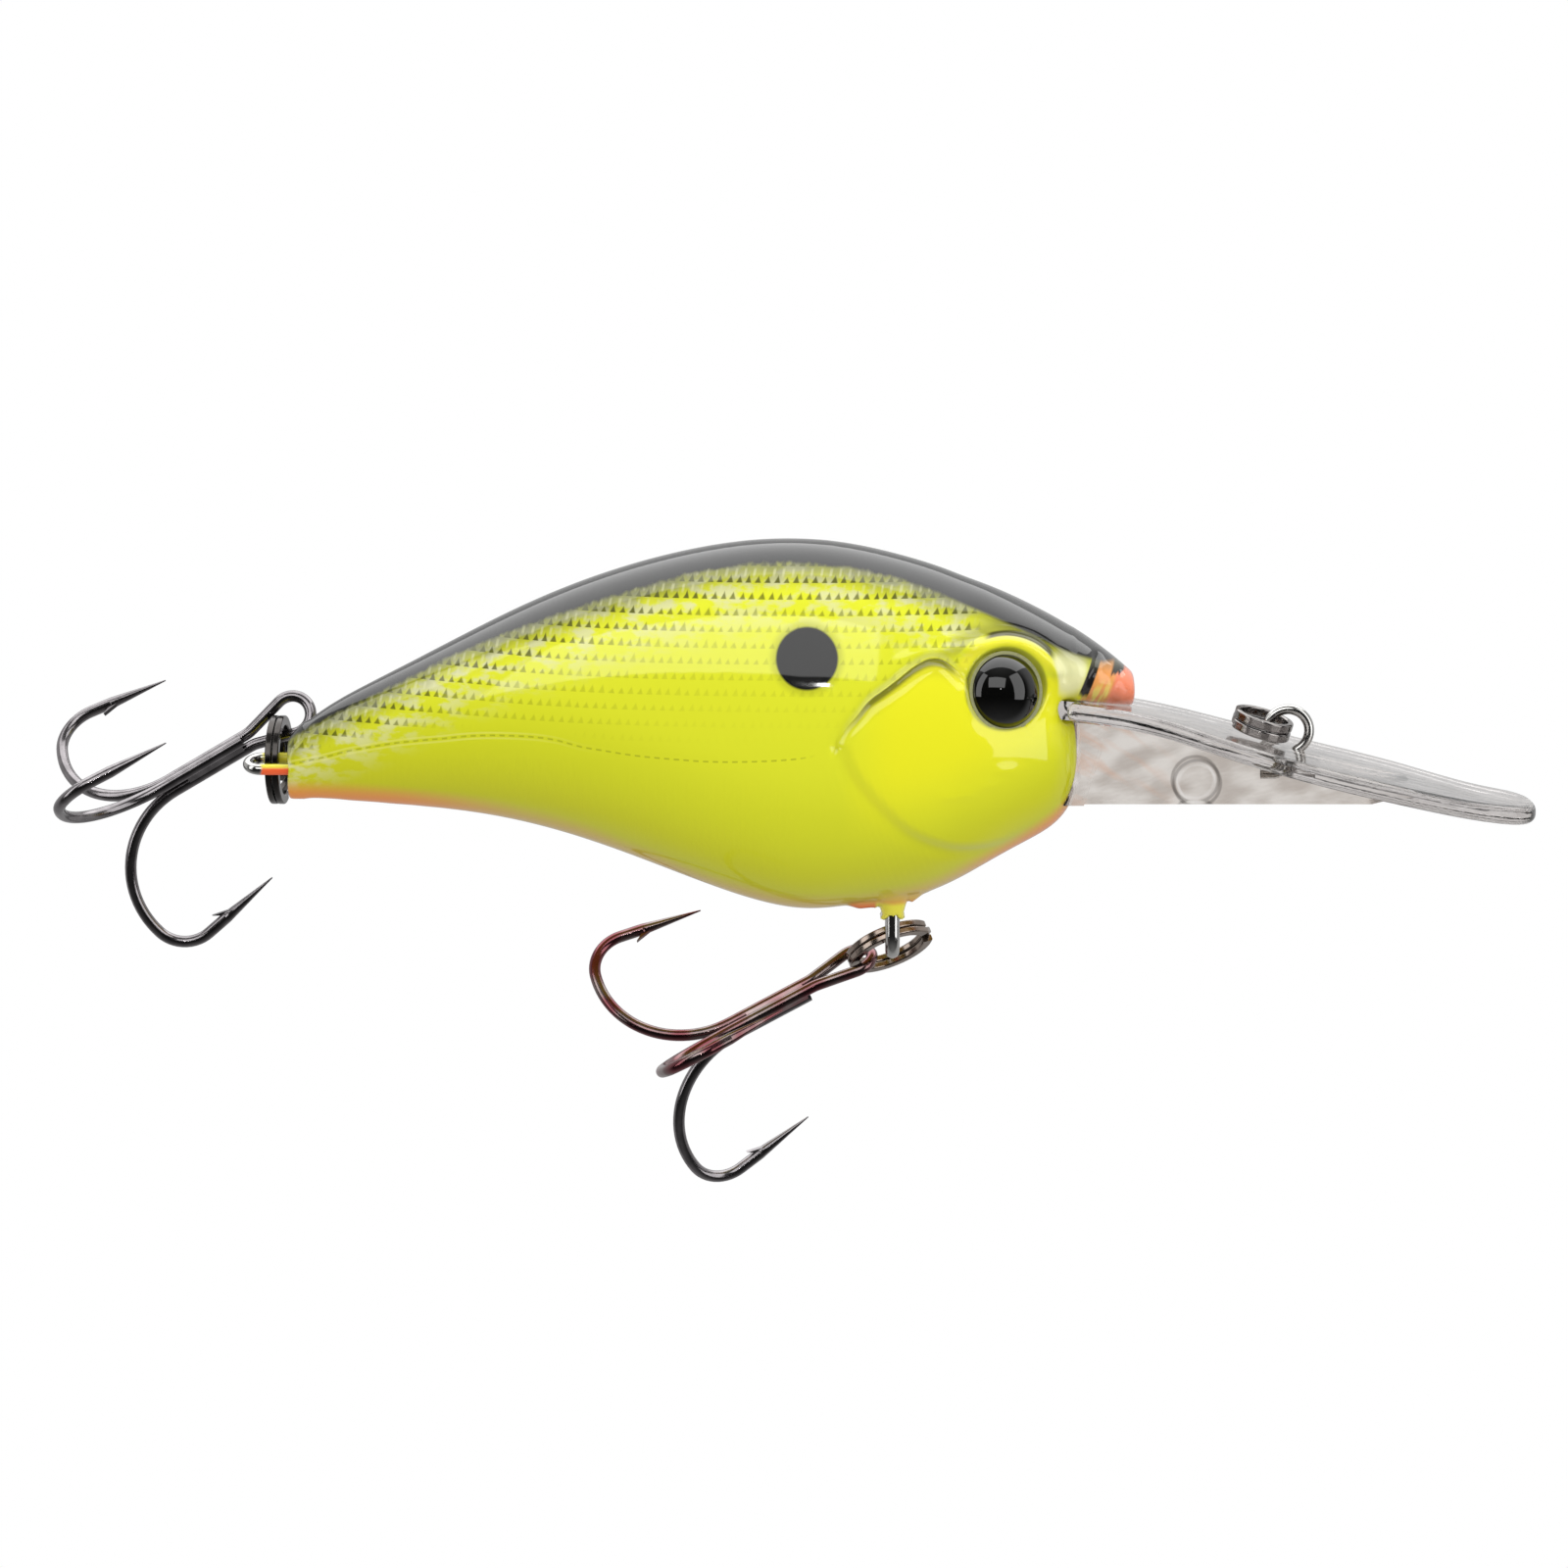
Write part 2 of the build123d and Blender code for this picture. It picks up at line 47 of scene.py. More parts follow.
# ---------------------------------------------------------------- materials from nodes
class Val:
    """A number or a vector inside a material, worked out by its nodes."""

    def __init__(self, tree, socket):
        self.tree = tree
        self.socket = socket

    def math(self, operation, other=None, third=None, clamp=False):
        node = self.tree.nodes.new("ShaderNodeMath")
        node.operation = operation
        node.use_clamp = clamp
        for slot, value in enumerate((self, other, third)):
            if isinstance(value, Val):
                self.tree.links.new(value.socket, node.inputs[slot])
            elif value is not None:
                node.inputs[slot].default_value = value
        return Val(self.tree, node.outputs[0])

    def __add__(self, other):
        return self.math("ADD", other)

    def __sub__(self, other):
        return self.math("SUBTRACT", other)

    def __mul__(self, other):
        return self.math("MULTIPLY", other)

    def __truediv__(self, other):
        return self.math("DIVIDE", other)

    def invert(self):
        return (self * -1.0) + 1.0

    def abs(self):
        return self.math("ABSOLUTE")

    def least(self, other):
        return self.math("MINIMUM", other)

    def most(self, other):
        return self.math("MAXIMUM", other)

    def fract(self):
        return self.math("FRACT")

    def floor(self):
        return self.math("FLOOR")

    def sqrt(self):
        return self.math("SQRT")

    def ramp(self, low, high):
        """0 below low, 1 above high, smooth between; low may be the larger."""
        node = self.tree.nodes.new("ShaderNodeMapRange")
        node.interpolation_type = "SMOOTHSTEP"
        flip = low > high
        node.inputs["From Min"].default_value = min(low, high)
        node.inputs["From Max"].default_value = max(low, high)
        node.inputs["To Min"].default_value = 1.0 if flip else 0.0
        node.inputs["To Max"].default_value = 0.0 if flip else 1.0
        self.tree.links.new(self.socket, node.inputs["Value"])
        return Val(self.tree, node.outputs["Result"])

    def curve(self, points):
        """A smooth function through (input, output) points."""
        xs = [p[0] for p in points]
        ys = [p[1] for p in points]
        x0, x1, y0, y1 = min(xs), max(xs), min(ys), max(ys)
        span = (y1 - y0) or 1.0
        node = self.tree.nodes.new("ShaderNodeFloatCurve")
        dots = node.mapping.curves[0].points
        wanted = [((x - x0) / (x1 - x0), (y - y0) / span) for x, y in sorted(points)]
        while len(dots) < len(wanted):
            dots.new(0.5, 0.5)
        for dot, place in zip(dots, wanted):
            dot.location = place
        node.mapping.update()
        inside = ((self - x0) / (x1 - x0)).math("ADD", 0.0, clamp=True)
        self.tree.links.new(inside.socket, node.inputs["Value"])
        return Val(self.tree, node.outputs["Value"]) * span + y0


class Material:
    """A Principled material with helpers for coordinates, noise and colour mixing."""

    def __init__(self, name, **constants):
        self.material = bpy.data.materials.new(name)
        self.material.use_nodes = True
        self.tree = self.material.node_tree
        self.shader = self.tree.nodes["Principled BSDF"]
        for socket, value in constants.items():
            self.shader.inputs[socket.replace("_", " ")].default_value = value

    def place(self):
        """x, y and z on the lure in millimetres."""
        where = self.tree.nodes.new("ShaderNodeTexCoord").outputs["Object"]
        split = self.tree.nodes.new("ShaderNodeSeparateXYZ")
        self.tree.links.new(where, split.inputs[0])
        return [Val(self.tree, split.outputs[axis]) * 1000.0 for axis in "XYZ"]

    def join(self, x, y, z=0.0):
        node = self.tree.nodes.new("ShaderNodeCombineXYZ")
        for slot, value in enumerate((x, y, z)):
            if isinstance(value, Val):
                self.tree.links.new(value.socket, node.inputs[slot])
            else:
                node.inputs[slot].default_value = value
        return Val(self.tree, node.outputs[0])

    def noise(self, vector, scale, detail=2.0):
        node = self.tree.nodes.new("ShaderNodeTexNoise")
        node.inputs["Scale"].default_value = scale
        node.inputs["Detail"].default_value = detail
        node.inputs["Roughness"].default_value = 0.5
        self.tree.links.new(vector.socket, node.inputs["Vector"])
        return Val(self.tree, node.outputs["Fac"])

    def mix(self, share, below, above):
        """Colour below where share is 0, above where it is 1."""
        node = self.tree.nodes.new("ShaderNodeMix")
        node.data_type = "RGBA"
        self.tree.links.new(share.socket, node.inputs["Factor"])
        for slot, colour in (("A", below), ("B", above)):
            socket = [s for s in node.inputs if s.name == slot and s.type == "RGBA"][0]
            if isinstance(colour, Val):
                self.tree.links.new(colour.socket, socket)
            else:
                socket.default_value = (*colour, 1.0)
        return Val(self.tree, [s for s in node.outputs if s.type == "RGBA"][0])

    def feed(self, socket, value):
        self.tree.links.new(value.socket, self.shader.inputs[socket])

    def bump(self, height, distance, strength=1.0):
        node = self.tree.nodes.new("ShaderNodeBump")
        node.inputs["Strength"].default_value = strength
        node.inputs["Distance"].default_value = distance
        self.tree.links.new(height.socket, node.inputs["Height"])
        self.tree.links.new(node.outputs[0], self.shader.inputs["Normal"])


def rgb(code):
    """A linear colour from an sRGB hex code."""
    parts = [int(code[i:i + 2], 16) / 255 for i in (0, 2, 4)]
    return tuple(p / 12.92 if p <= 0.04045 else ((p + 0.055) / 1.055) ** 2.4 for p in parts)


def dress(obj, material):
    obj.data.materials.clear()
    obj.data.materials.append(material.material)


# ---------------------------------------------------------------- the lure's markings, in millimetres
BACK_EDGE = [(-91, -1.0), (-87, 1.3), (-80, 4.8), (-73, 8.3), (-66, 11.0), (-59, 13.3), (-52, 15.1),
             (-46, 15.7), (-40, 15.3), (-36, 14.4), (-33, 13.5), (-29.5, 12.0), (-26, 10.5), (-23, 9.1),
             (-20.3, 7.8), (-17, 6.7)]
LATERAL_LINE = [(-91, -3.0), (-87.4, -2.2), (-84, -1.3), (-77, -0.2), (-70, 0.3), (-63, -0.7), (-56, -1.5),
                (-50, -1.7), (-42, -0.6)]
BELLY_EDGE = [(-91, -6.4), (-77, -7.1), (-67, -8.9), (-58, -12.1), (-49, -15.3), (-42, -16.4), (-35, -15.5),
              (-29, -13.2), (-24, -10.6), (-19, -6.6)]
GILL = [(-40.9, -0.1), (-40.3, 1.1), (-39.1, 2.5), (-38.1, 3.7), (-36.6, 4.8), (-35.5, 5.6), (-34.6, 6.3),
        (-33.6, 6.95), (-32.6, 7.35), (-31.7, 7.3), (-31.1, 7.0), (-29.4, 5.5)]
GILL_BELOW = [(-40.9, -0.1), (-40.2, -2.2), (-38.9, -4.2), (-35.8, -7.6), (-33.0, -9.4), (-29.6, -10.3),
              (-25.6, -9.9), (-22.0, -8.0)]
BROW = [(-36.5, 7.3), (-33.5, 7.9), (-30.5, 8.1), (-28.2, 8.3), (-25.8, 8.7), (-23.7, 8.2), (-22.2, 7.1),
        (-21.2, 5.9)]
DOT = (-43.6, 7.5, 2.75)          # x, z and radius
EYE = (-25.8, 4.6)                # x and z of its centre
BOSS_X = -35.8                    # the moulded boss that the belly wire comes out of
DIMPLE = (-8.3, -4.6, 2.1)        # x, z and radius of the dimple on the lip's web
DASH_PITCH = 0.87                 # dashes of the lateral line
RIB_PITCH = 0.66                  # fine ribs on the lower flank


# ---------------------------------------------------------------- body skin
VOXEL = 0.24 * MM


def outer_half():
    """The outside of the right shell as an even mesh, with its edge on the middle plane."""
    shell = nodes["right_body_shell"]
    work = bmesh.new()
    work.from_mesh(shell.data)
    caps = [f for f in work.faces if all(abs(v.co.y) < 0.01 * MM for v in f.verts)]
    bmesh.ops.delete(work, geom=caps, context="FACES")
    copy = bmesh.ops.duplicate(work, geom=work.verts[:] + work.edges[:] + work.faces[:])["geom"]
    for vert in (g for g in copy if isinstance(g, bmesh.types.BMVert)):
        vert.co.y = -vert.co.y
    bmesh.ops.reverse_faces(work, faces=[g for g in copy if isinstance(g, bmesh.types.BMFace)])
    bmesh.ops.remove_doubles(work, verts=work.verts, dist=0.005 * MM)
    mesh = bpy.data.meshes.new("whole_body")
    work.to_mesh(mesh)
    work.free()
    whole = bpy.data.objects.new("whole_body", mesh)
    bpy.context.scene.collection.objects.link(whole)
    remesh = whole.modifiers.new("even", "REMESH")
    remesh.mode = "VOXEL"
    remesh.voxel_size = VOXEL
    graph = bpy.context.evaluated_depsgraph_get()
    even = bpy.data.meshes.new_from_object(whole.evaluated_get(graph))
    bpy.data.objects.remove(whole)
    work = bmesh.new()
    work.from_mesh(even)
    keep_largest(work)
    relax(work, work.verts, 8)
    relax(work, [v for v in work.verts if v.co.x > -89 * MM and not near_boss(v.co)], 60)
    return work


def near_boss(spot):
    """Whether a point is on the moulded boss of the belly wire or on the thin nose over the lip."""
    boss = abs(spot.x - BOSS_X * MM) < 3.2 * MM and abs(spot.y) < 3.6 * MM and spot.z < -14 * MM
    return boss or spot.x > -19.5 * MM


def relax(work, verts, rounds):
    """Evens out the surface."""
    for _ in range(rounds):
        bmesh.ops.smooth_vert(work, verts=verts, factor=0.5,
                              use_axis_x=True, use_axis_y=True, use_axis_z=True)


def keep_largest(work):
    """Deletes every island but the one with the most vertices."""
    work.verts.ensure_lookup_table()
    left = set(work.verts)
    islands = []
    while left:
        stack = [left.pop()]
        island = set(stack)
        while stack:
            for edge in stack.pop().link_edges:
                for vert in edge.verts:
                    if vert in left:
                        left.discard(vert)
                        island.add(vert)
                        stack.append(vert)
        islands.append(island)
    islands.sort(key=len)
    for island in islands[:-1]:
        bmesh.ops.delete(work, geom=list(island), context="VERTS")


def distance_to(points, line):
    """Each point's distance to a line of 2-D points, and the side it lies on (left is positive)."""
    best = np.full(len(points), 1e9)
    side = np.zeros(len(points))
    for start, end in zip(line, line[1:]):
        a = np.array(start)
        step = np.array(end) - a
        share = np.clip(((points - a) @ step) / (step @ step), 0, 1)
        away = points - a - share[:, None] * step
        far = np.hypot(away[:, 0], away[:, 1])
        turn = step[0] * (points[:, 1] - a[1]) - step[1] * (points[:, 0] - a[0])
        closer = far < best
        best = np.where(closer, far, best)
        side = np.where(closer, np.sign(turn), side)
    return best, side


def smooth_line(points, steps=6):
    """A Catmull-Rom curve through 2-D points."""
    padded = [points[0], *points, points[-1]]
    curve = []
    for before, a, b, after in zip(padded, padded[1:], padded[2:], padded[3:]):
        before, a, b, after = (np.array(p, float) for p in (before, a, b, after))
        for k in range(steps):
            t = k / steps
            curve.append(0.5 * (2 * a + (b - before) * t + (2 * before - 5 * a + 4 * b - after) * t * t
                                + (3 * a - before - 3 * b + after) * t ** 3))
    curve.append(np.array(points[-1], float))
    return curve


def smoothstep(values, low, high):
    t = np.clip((values - low) / (high - low), 0, 1)
    return t * t * (3 - 2 * t)


def relief(x, z):
    """How far the moulding stands out of the smooth body, in millimetres."""
    points = np.stack([x, z], 1)
    rise = np.zeros(len(x))
    # gill cover: a raised plate, edged by a groove above and behind
    upper, upper_side = distance_to(points, smooth_line(GILL))
    lower, lower_side = distance_to(points, smooth_line(GILL_BELOW))
    inside = np.where(upper < lower, upper_side < 0, lower_side > 0)
    edge = np.minimum(upper, lower)
    signed = np.where(inside, edge, -edge)
    ahead = 1 - smoothstep(x, -30.0, -22.0)
    rise += 0.42 * smoothstep(signed, -0.1, 1.3) * ahead
    above = (upper <= lower + 0.4) * smoothstep(-x, 28.2, 31.0)
    rise -= 0.30 * np.exp(-((signed + 0.15) / 0.38) ** 2) * above
    rise -= 0.10 * np.exp(-((signed + 0.2) / 0.6) ** 2) * (lower < upper) * ahead
    # eye: a rim round the socket and a brow that arches over it and runs back over the gill
    from_eye = np.hypot(x - EYE[0], z - EYE[1])
    rise += 0.20 * np.exp(-((from_eye - 3.75) / 0.35) ** 2)
    brow, brow_side = distance_to(points, smooth_line(BROW))
    along = smoothstep(x, -36.5, -29.0)
    rise += 0.40 * np.exp(-(brow / 0.50) ** 2) * along
    rise -= 0.24 * np.exp(-((brow * brow_side - 0.95) / 0.38) ** 2) * smoothstep(x, -30.0, -27.0)
    # mouth: slanted grooves across the nose
    for start, end, depth in (((-17.4, 7.2), (-18.8, 3.6), 0.28), ((-15.3, 6.2), (-16.1, 3.0), 0.14)):
        groove, _ = distance_to(points, [start, end])
        rise -= depth * np.exp(-(groove / 0.42) ** 2)
    # cheek: small wrinkles and a soft lower jaw line
    for k in range(4):
        bump = np.hypot((x - (-31.0 + 1.7 * k)) / 1.1, (z - (-4.9 + 0.25 * k * k)) / 0.45)
        rise += 0.09 * np.exp(-bump ** 2)
    # lateral line: a fine step along the flank
    line, _ = distance_to(points, smooth_line(LATERAL_LINE))
    behind = 1 - smoothstep(x, -46.0, -41.5)
    rise -= 0.02 * np.exp(-(line / 0.25) ** 2) * behind
    return rise


def right_skin():
    """The right body shell's outside with its moulded relief, closed on the middle plane, so it is solid."""
    work = outer_half()
    work.normal_update()
    count = len(work.verts)
    place = np.array([v.co for v in work.verts]).reshape(count, 3) / MM
    normal = np.array([v.normal for v in work.verts]).reshape(count, 3)
    flank = smoothstep(np.abs(place[:, 1]), 0.6, 2.4) * smoothstep(np.abs(normal[:, 1]), 0.15, 0.5)
    rise = relief(place[:, 0], place[:, 2]) * flank
    # keel: a low ridge along the belly, where the hook's wire comes out
    keel = smoothstep(place[:, 0], -40.2, -38.6) * (1 - smoothstep(place[:, 0], -34.2, -32.8))
    keel *= (1 - smoothstep(np.abs(place[:, 1]), 1.5, 2.5)) * smoothstep(-normal[:, 2], 0.5, 0.8)
    rise += 0.4 * keel * (place[:, 2] > -17.0)
    moved = (place + normal * rise[:, None]) * MM
    for vert, spot in zip(work.verts, moved):
        vert.co = spot
    everything = work.verts[:] + work.edges[:] + work.faces[:]
    bmesh.ops.bisect_plane(work, geom=everything, dist=1e-7, plane_co=(0, 0, 0), plane_no=(0, 1, 0),
                           clear_outer=True)
    rim = [e for e in work.edges if e.is_boundary]
    caps = bmesh.ops.triangle_fill(work, edges=rim, use_beauty=True, use_dissolve=False)["geom"]
    for face in work.faces:
        face.smooth = True
    for face in (g for g in caps if isinstance(g, bmesh.types.BMFace)):
        face.smooth = False
    for edge in rim:
        edge.smooth = False
    bmesh.ops.recalc_face_normals(work, faces=work.faces)
    mesh = bpy.data.meshes.new("right_painted_shell")
    work.to_mesh(mesh)
    work.free()
    return mesh


def add_piece(name, mesh, material, body, *replaced):
    piece = bpy.data.objects.new(name, mesh)
    bpy.context.scene.collection.objects.link(piece)
    dress(piece, material)
    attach(piece, body)
    if replaced:
        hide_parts(*replaced)


def mirrored(mesh, name):
    """The same mesh on the other side of the middle plane."""
    other = mesh.copy()
    other.name = name
    other.transform(Matrix.Diagonal((1, -1, 1, 1)))
    other.flip_normals()
    return other


# ---------------------------------------------------------------- paint
def body_paint():
    """Lacquered paint: black back, scaled silver and chartreuse flank, orange belly edge and nose, with
    painted shade and a painted highlight at the gill edge and painted shade in the eye socket.
    """
    m = Material("body_paint", Roughness=0.5, Specular_IOR_Level=0.1, Coat_Weight=1.0, Coat_Roughness=0.05,
                 Coat_IOR=1.5)
    x, y, z = m.place()
    back = z - x.curve(BACK_EDGE)                 # height above the black back's edge
    lateral = z - x.curve(LATERAL_LINE)
    belly = z - x.curve(BELLY_EDGE)               # height above the bottom of the body

    # ground colour, from the belly up to the back
    ground = m.mix(belly.ramp(0.0, 9.0), rgb("c6c61e"), rgb("d6da24"))
    ground = m.mix(belly.ramp(7.0, 15.0), ground, rgb("e2e62c"))
    silver = m.noise(m.join(x * 0.55, z * 1.1, y * 0.2), 1.0, 3.0)
    silver = silver.ramp(0.44, 0.62) * back.ramp(-7.5, -1.5) * 0.75
    ground = m.mix(silver * x.ramp(-27.0, -31.0), ground, rgb("dcdbb4"))

    # gill cover and face are brighter
    gill_height = z - x.curve(GILL)
    cheek = x.ramp(-41.2, -39.5) * gill_height.ramp(0.3, -0.3)
    ground = m.mix(cheek * x.ramp(-42.0, -35.0) * belly.ramp(5.0, 14.0) * 0.9, ground, rgb("f2ee20"))

    # scale marks: rows of small slanted wedges, dark at the back and fading down the flank
    row_height = 1.40
    mark_width = 0.85
    row_line = (z - x.curve([(-92, 1.5), (-75, 0.7), (-62, 0.15), (-50, 0.0), (-18, 0.0)])) / row_height
    row = row_line.floor()
    up = row_line.fract()
    shift = m.noise(m.join(x * 0.55, row * 2.7), 1.0, 1.0) * 0.5
    along = (x / mark_width + row * 0.37 + shift - up * 0.34).fract() - 0.5
    tooth = m.noise(m.join((x / mark_width).floor() * 0.73, row * 1.9), 1.0, 0.0)
    wedge = (along.abs() * 2.2 + up * (tooth * 1.3 + 1.1) + tooth * 0.25).ramp(1.05, 0.6)
    patchy = m.noise(m.join(x * 0.35, row * 1.3), 1.0, 2.0)
    scaled = x.ramp(-27.6, -29.5) * lateral.ramp(0.6, 2.0) * cheek.invert()
    marks = wedge * scaled
    near_back = back.ramp(-6.0, -0.8)
    dusk = back.ramp(-2.8, -0.2) * x.ramp(-27.0, -31.0)
    ground = m.mix(dusk * (patchy * 1.1 + 0.2).least(1.0) * 0.85, ground, rgb("565a22"))
    glint = (along.abs().ramp(0.30, 0.44) * up.ramp(0.25, 0.5) * up.ramp(0.95, 0.75)) * scaled * dusk
    strong = (near_back * (patchy * 0.9 + 0.55)).least(1.0)
    ground = m.mix(marks * strong * 0.95, ground, rgb("26270f"))
    ground = m.mix(marks * back.ramp(-16.0, -4.0) * (tooth * 0.3 + 0.24), ground, rgb("7c800e"))
    ground = m.mix(glint * 0.6, ground, rgb("d8d8a0"))

    # lateral line: a row of fine dashes
    dash = ((x / DASH_PITCH).fract() - 0.5).abs().ramp(0.32, 0.24) * lateral.abs().ramp(0.11, 0.04)
    ground = m.mix(dash * x.ramp(-42.5, -45.0) * 0.55, ground, rgb("8f9418"))
    beside = (lateral.abs() - 0.25).abs().ramp(0.15, 0.02) * x.ramp(-60.0, -75.0)
    ground = m.mix(beside * 0.3, ground, rgb("f2f08c"))

    # orange along the tail's lower edge, peach under the belly and orange at the chin
    tail = x.ramp(-68.0, -82.0)
    chin = x.ramp(-31.0, -25.0)
    edge = belly.ramp(2.4, 0.3)
    ground = m.mix(edge * 0.75, ground, rgb("d8a860"))
    ground = m.mix(edge * tail.most(chin) * 0.9, ground, rgb("ee8a3a"))
    ground = m.mix(belly.ramp(0.3, -0.9), ground, rgb("f0602a"))

    # gill line: painted shade along the gill cover's edge, crisp above and soft below, with a painted
    # highlight as the pale edge over it
    reach = x.ramp(-41.2, -37.5) * x.ramp(-29.2, -31.6)
    gill_edge_painted_shade = gill_height.ramp(-0.85, -0.35) * gill_height.ramp(0.10, -0.05) * reach
    gill_soft_painted_shade = gill_height.ramp(-2.1, -0.3) * gill_height.ramp(0.1, 0.0) * reach
    gill_painted_highlight = gill_height.ramp(0.05, 0.2) * gill_height.ramp(0.9, 0.3) * reach
    ground = m.mix(gill_soft_painted_shade * 0.45, ground, rgb("a3a01c"))
    ground = m.mix(gill_painted_highlight * 0.35, ground, rgb("eeeea0"))
    ground = m.mix(gill_edge_painted_shade * 0.9, ground, rgb("6a690e"))

    # the ring round the eye, the black line over the brow, the pale patch in front of it and an olive ring
    # of painted shade in the socket
    ex = x - EYE[0]
    ez = z - EYE[1]
    from_eye = (ex * ex + ez * ez).sqrt()
    ground = m.mix((from_eye - 4.35).abs().ramp(0.8, 0.2) * ez.ramp(0.5, 2.5) * 0.7, ground, rgb("f0e83a"))
    pale = (((x + 20.1) / 1.9) * ((x + 20.1) / 1.9) + ((z - 6.0) / 2.5) * ((z - 6.0) / 2.5)).ramp(1.3, 0.3)
    ground = m.mix(pale * 0.8 * from_eye.ramp(4.6, 5.0), ground, rgb("efedc2"))
    # painted shade: a soft olive ring in the socket round the eye
    ground = m.mix((from_eye - 3.45).abs().ramp(0.42, 0.15) * 0.7, ground, rgb("9c9f3a"))
    from_brow = (ex * ex * 0.92 + ez * ez * 1.08).sqrt()
    brow = (from_brow - 5.05).abs().ramp(0.36, 0.14) * ex.ramp(-2.3, -1.2)
    brow = brow * ex.ramp(4.7, 3.9) * ez.ramp(2.0, 3.0)
    above_brow = from_brow.ramp(5.1, 5.4) * from_brow.ramp(7.2, 5.7) * ez.ramp(2.5, 4.0)
    ground = m.mix(above_brow * 0.6, ground, rgb("8f9050"))
    ground = m.mix(brow * 0.92, ground, rgb("2e2a26"))

    # nose: a black slash, an orange beak with yellow streaks and a ragged dark top
    slant = x + (z - 5.45) * -0.375
    grain = m.noise(m.join(slant * 2.6, z * 0.35), 1.0, 2.0)
    nose = slant.ramp(-18.3, -17.9) * z.ramp(1.6, 2.2)
    ground = m.mix(nose, ground, rgb("f0a25c"))
    streak = grain.ramp(0.5, 0.6) * z.ramp(5.4, 3.6)
    ground = m.mix(streak * nose * 0.85, ground, rgb("eee06a"))
    ground = m.mix(slant.ramp(-16.0, -15.5) * z.ramp(1.6, 2.2), ground, rgb("f38a66"))
    ragged = grain * 0.5 + (z - 5.6) * 0.5
    patch = (slant + 15.7).abs().ramp(0.75, 0.45) * ragged.ramp(0.12, 0.3)
    beak_top = slant.ramp(-16.0, -15.6) * (z - 6.0 + grain * 0.6).ramp(0.1, 0.4)
    slash = (slant + 18.1).abs().ramp(0.5, 0.36) * (z + grain * 1.2).ramp(3.9, 4.6)
    ground = m.mix(slash.most(patch).most(beak_top), ground, rgb("1d1a19"))
    mouth = (z - (x + 20.0) * 0.12 - 2.7).abs().ramp(0.32, 0.12) * x.ramp(-20.4, -19.6)
    ground = m.mix(mouth * slant.ramp(-17.2, -17.8) * 0.9, ground, rgb("26231c"))

    # the black back, with a soft olive edge, and the round dot
    edge_noise = m.noise(m.join(x * 1.4, z * 0.8), 1.0, 2.0) - 0.5
    black = (back + edge_noise * 0.7 * x.ramp(-30.0, -34.0)).ramp(-0.3, 0.15)
    olive = back.ramp(-1.3, 0.1) * 0.6
    ground = m.mix(olive, ground, rgb("4e5022"))
    ground = m.mix(black, ground, rgb("0b0b0a"))
    boss = z.ramp(-15.2, -15.8) * (x - BOSS_X).abs().ramp(1.7, 1.3) * y.abs().ramp(2.9, 2.6)
    keel = (x + 36.4).abs().ramp(3.6, 3.0) * z.ramp(-15.0, -16.0) * boss.invert()
    ground = m.mix(keel * 0.85, ground, rgb("ea6a38"))
    ground = m.mix(boss, ground, rgb("e6dc4a"))
    dx = x - DOT[0]
    dz = z - DOT[1]
    from_dot = (dx * dx + dz * dz).sqrt()
    ground = m.mix(from_dot.ramp(DOT[2] + 0.9, DOT[2]) * 0.35, ground, rgb("74781e"))
    ground = m.mix(from_dot.ramp(DOT[2] + 0.15, DOT[2] - 0.12), ground, rgb("0a0a0a"))

    m.feed("Base Color", ground)

    # fine vertical ribs under the lateral line, fanned under the gill
    fan = x + (z * 0.33) * x.ramp(-46.0, -38.0)
    rib = ((fan / RIB_PITCH).fract() - 0.5).abs() * lateral.ramp(0.0, -2.5)
    rib = rib * belly.ramp(0.0, 2.0) * x.ramp(-27.0, -33.0)
    flake = m.noise(m.join(x, y, z), 6.0, 2.0)
    m.bump(rib * 0.035 + marks * 0.015 + flake * 0.004, MM, 0.5)
    return m


# ---------------------------------------------------------------- metal, lip and eyes
def metal(name, code, rough, tint=None):
    """Plated wire: fine drawn streaks and slightly uneven plating."""
    m = Material(name, Metallic=1.0, Roughness=rough)
    x, y, z = m.place()
    cloud = m.noise(m.join(x, y, z), 0.8, 3.0)
    fine = m.noise(m.join(x * 9.0, y * 9.0, z * 9.0), 1.0, 3.0)
    dark = tuple(c * 0.75 for c in rgb(code))
    colour = m.mix(cloud.ramp(0.35, 0.65), dark, rgb(code))
    if tint:
        tinted = m.noise(m.join(x * 0.3, y * 0.3, z * 0.3), 1.0, 1.0).ramp(0.35, 0.6)
        colour = m.mix(tinted * 0.85, colour, rgb(tint))
    m.feed("Base Color", colour)
    m.feed("Roughness", fine * 0.08 + rough)
    m.bump(fine * 0.004, MM, 0.3)
    return m


